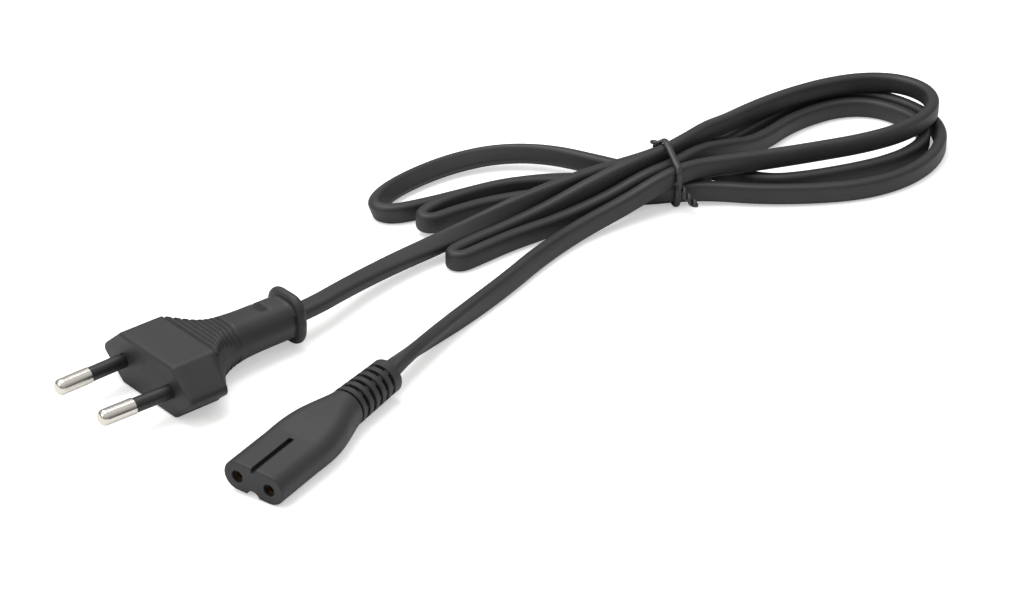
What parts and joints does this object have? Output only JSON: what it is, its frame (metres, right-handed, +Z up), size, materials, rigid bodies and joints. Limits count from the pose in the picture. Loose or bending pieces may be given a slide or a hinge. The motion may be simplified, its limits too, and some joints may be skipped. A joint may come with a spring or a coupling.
{
  "type": "power cord",
  "caption": "Black mains lead with a flat pin plug, a flat twin cord folded into a loose tied hank and a figure of eight connector.",
  "frame": {"origin": "under the middle of the plug's head, on the surface the lead lies on", "axes": "+X from the plug's pins towards its cord, +Y towards the side of the largest left loop, +Z up"},
  "size_m": [0.2663, 0.1014, 0.0137],
  "materials": {
    "moulded_pvc": "soft black PVC, fine matte grain",
    "cord_jacket": "soft black PVC jacket, low sheen",
    "tie_plastic": "black PVC over a steel wire",
    "sleeve_plastic": "hard black insulating sleeve",
    "nickel_brass": "bright nickel plate on brass",
    "bridge_plastic": "natural glass-filled nylon",
    "copper_strand": "bare stranded copper",
    "core_blue": "blue core insulation",
    "core_brown": "brown core insulation",
    "contact_bronze": "drawn phosphor bronze tube"
  },
  "bodies": {
    "root": {"connector_body": "moulded_pvc", "connector_conductor_far": "copper_strand", "connector_conductor_near": "copper_strand", "connector_core_far": "core_blue", "connector_core_near": "core_brown", "contact_carrier": "bridge_plastic", "contact_far": "contact_bronze", "contact_near": "contact_bronze", "cord_connector_lead": "cord_jacket", "cord_hank": "cord_jacket", "cord_plug_lead": "cord_jacket", "pin_sleeve_far": "sleeve_plastic", "pin_sleeve_near": "sleeve_plastic", "plug_body": "moulded_pvc", "plug_bridge": "bridge_plastic", "plug_conductor_far": "copper_strand", "plug_conductor_near": "copper_strand", "plug_core_far": "core_blue", "plug_core_near": "core_brown", "plug_pin_far": "nickel_brass", "plug_pin_near": "nickel_brass", "twist_tie": "tie_plastic"}
  },
  "joints": []
}
